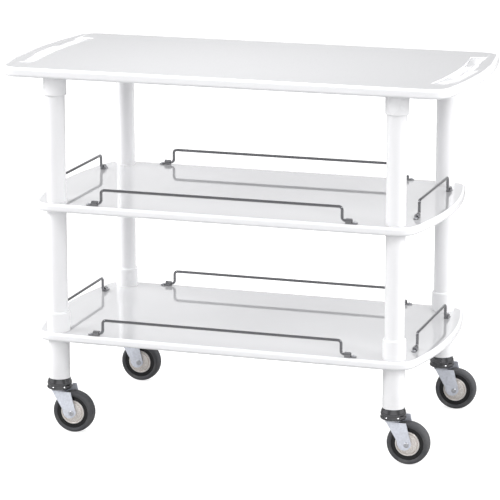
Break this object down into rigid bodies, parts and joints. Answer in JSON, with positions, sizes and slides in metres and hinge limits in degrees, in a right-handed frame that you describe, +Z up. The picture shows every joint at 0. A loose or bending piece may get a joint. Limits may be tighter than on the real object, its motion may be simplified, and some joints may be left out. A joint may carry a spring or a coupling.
{
  "type": "instrument cart",
  "caption": "Wheeled instrument cart: a worktop tray with hand grips above railed shelves, on round white posts with swivel casters.",
  "frame": {"origin": "on the floor under the wheels, at the middle of the cart's footprint", "axes": "+X along the cart's length towards the right-hand end seen from the front, -Y towards the front, +Z up"},
  "size_m": [1, 0.5, 0.7885],
  "materials": {
    "tray_white": "satin gloss, smooth moulded",
    "post_white": "gloss epoxy powder coat",
    "collar_white": "gloss moulded",
    "chrome_rod": "bright polished",
    "clip_chrome": "bright",
    "screw_steel": "zinc plated",
    "chrome_cup": "bright polished",
    "zinc_fork": "blue zinc plated pressing",
    "race_steel": "zinc plated",
    "bolt_steel": "zinc plated",
    "hub_cap_nickel": "nickel plated pressing",
    "wheel_black": "moulded",
    "tyre_rubber": "grey rubber",
    "plug_plastic": "moulded nylon",
    "brass_insert": "turned"
  },
  "bodies": {
    "cart_frame": {"bottom_shelf": "tray_white", "bottom_sleeves": "collar_white", "caster_cups": "chrome_cup", "caster_sockets": "plug_plastic", "caster_stems": "bolt_steel", "clip_screws": "screw_steel", "leg_back_left": "post_white", "leg_back_right": "post_white", "leg_front_left": "post_white", "leg_front_right": "post_white", "lower_post_back_left": "post_white", "lower_post_back_right": "post_white", "lower_post_front_left": "post_white", "lower_post_front_right": "post_white", "middle_shelf": "tray_white", "rail_clips": "clip_chrome", "swivel_balls": "bolt_steel", "swivel_races": "race_steel", "tie_rod_nuts": "bolt_steel", "tie_rods": "bolt_steel", "top_collars": "collar_white", "top_tray": "tray_white", "tray_inserts": "brass_insert", "tube_plugs": "plug_plastic", "upper_post_back_left": "post_white", "upper_post_back_right": "post_white", "upper_post_front_left": "post_white", "upper_post_front_right": "post_white"},
    "front_left_swivel": {"front_left_fork": "zinc_fork", "front_left_axle_bolt": "bolt_steel"},
    "front_left_wheel": {"front_left_tyre": "tyre_rubber", "front_left_wheel_centre": "wheel_black", "front_left_hub_caps": "hub_cap_nickel", "front_left_wheel_bush": "bolt_steel"},
    "front_right_swivel": {"front_right_fork": "zinc_fork", "front_right_axle_bolt": "bolt_steel"},
    "front_right_wheel": {"front_right_tyre": "tyre_rubber", "front_right_wheel_centre": "wheel_black", "front_right_hub_caps": "hub_cap_nickel", "front_right_wheel_bush": "bolt_steel"},
    "back_left_swivel": {"back_left_fork": "zinc_fork", "back_left_axle_bolt": "bolt_steel"},
    "back_left_wheel": {"back_left_tyre": "tyre_rubber", "back_left_wheel_centre": "wheel_black", "back_left_hub_caps": "hub_cap_nickel", "back_left_wheel_bush": "bolt_steel"},
    "back_right_swivel": {"back_right_fork": "zinc_fork", "back_right_axle_bolt": "bolt_steel"},
    "back_right_wheel": {"back_right_tyre": "tyre_rubber", "back_right_wheel_centre": "wheel_black", "back_right_hub_caps": "hub_cap_nickel", "back_right_wheel_bush": "bolt_steel"},
    "middle_front_rail": {"middle_front_rail": "chrome_rod"},
    "middle_back_rail": {"middle_back_rail": "chrome_rod"},
    "middle_left_rail": {"middle_left_rail": "chrome_rod"},
    "middle_right_rail": {"middle_right_rail": "chrome_rod"},
    "bottom_front_rail": {"bottom_front_rail": "chrome_rod"},
    "bottom_back_rail": {"bottom_back_rail": "chrome_rod"},
    "bottom_left_rail": {"bottom_left_rail": "chrome_rod"},
    "bottom_right_rail": {"bottom_right_rail": "chrome_rod"}
  },
  "joints": [
    {"name": "front_left_swivel_turn", "type": "hinge", "parent": "cart_frame", "child": "front_left_swivel", "pos_m": [-0.3685, -0.2085, 0.09], "axis": [0, 0, 1], "continuous": true},
    {"name": "front_left_wheel_spin", "type": "hinge", "parent": "front_left_swivel", "child": "front_left_wheel", "pos_m": [-0.3355, -0.2085, 0.045], "axis": [0, 1, 0], "continuous": true},
    {"name": "front_right_swivel_turn", "type": "hinge", "parent": "cart_frame", "child": "front_right_swivel", "pos_m": [0.3685, -0.2085, 0.09], "axis": [0, 0, 1], "continuous": true},
    {"name": "front_right_wheel_spin", "type": "hinge", "parent": "front_right_swivel", "child": "front_right_wheel", "pos_m": [0.4015, -0.2085, 0.045], "axis": [0, 1, 0], "continuous": true},
    {"name": "back_left_swivel_turn", "type": "hinge", "parent": "cart_frame", "child": "back_left_swivel", "pos_m": [-0.3685, 0.2085, 0.09], "axis": [0, 0, 1], "continuous": true},
    {"name": "back_left_wheel_spin", "type": "hinge", "parent": "back_left_swivel", "child": "back_left_wheel", "pos_m": [-0.3355, 0.2085, 0.045], "axis": [0, 1, 0], "continuous": true},
    {"name": "back_right_swivel_turn", "type": "hinge", "parent": "cart_frame", "child": "back_right_swivel", "pos_m": [0.3685, 0.2085, 0.09], "axis": [0, 0, 1], "continuous": true},
    {"name": "back_right_wheel_spin", "type": "hinge", "parent": "back_right_swivel", "child": "back_right_wheel", "pos_m": [0.4015, 0.2085, 0.045], "axis": [0, 1, 0], "continuous": true},
    {"name": "middle_front_rail_fold", "type": "hinge", "parent": "cart_frame", "child": "middle_front_rail", "pos_m": [0, -0.228, 0.5075], "axis": [-1, 0, 0], "range_deg": [0, 90]},
    {"name": "middle_back_rail_fold", "type": "hinge", "parent": "cart_frame", "child": "middle_back_rail", "pos_m": [0, 0.228, 0.5075], "axis": [1, 0, 0], "range_deg": [0, 90]},
    {"name": "middle_left_rail_fold", "type": "hinge", "parent": "cart_frame", "child": "middle_left_rail", "pos_m": [-0.395, 0, 0.5075], "axis": [0, 1, 0], "range_deg": [0, 90]},
    {"name": "middle_right_rail_fold", "type": "hinge", "parent": "cart_frame", "child": "middle_right_rail", "pos_m": [0.395, 0, 0.5075], "axis": [0, -1, 0], "range_deg": [0, 90]},
    {"name": "bottom_front_rail_fold", "type": "hinge", "parent": "cart_frame", "child": "bottom_front_rail", "pos_m": [0, -0.228, 0.227], "axis": [-1, 0, 0], "range_deg": [0, 90]},
    {"name": "bottom_back_rail_fold", "type": "hinge", "parent": "cart_frame", "child": "bottom_back_rail", "pos_m": [0, 0.228, 0.227], "axis": [1, 0, 0], "range_deg": [0, 90]},
    {"name": "bottom_left_rail_fold", "type": "hinge", "parent": "cart_frame", "child": "bottom_left_rail", "pos_m": [-0.395, 0, 0.227], "axis": [0, 1, 0], "range_deg": [0, 90]},
    {"name": "bottom_right_rail_fold", "type": "hinge", "parent": "cart_frame", "child": "bottom_right_rail", "pos_m": [0.395, 0, 0.227], "axis": [0, -1, 0], "range_deg": [0, 90]}
  ]
}
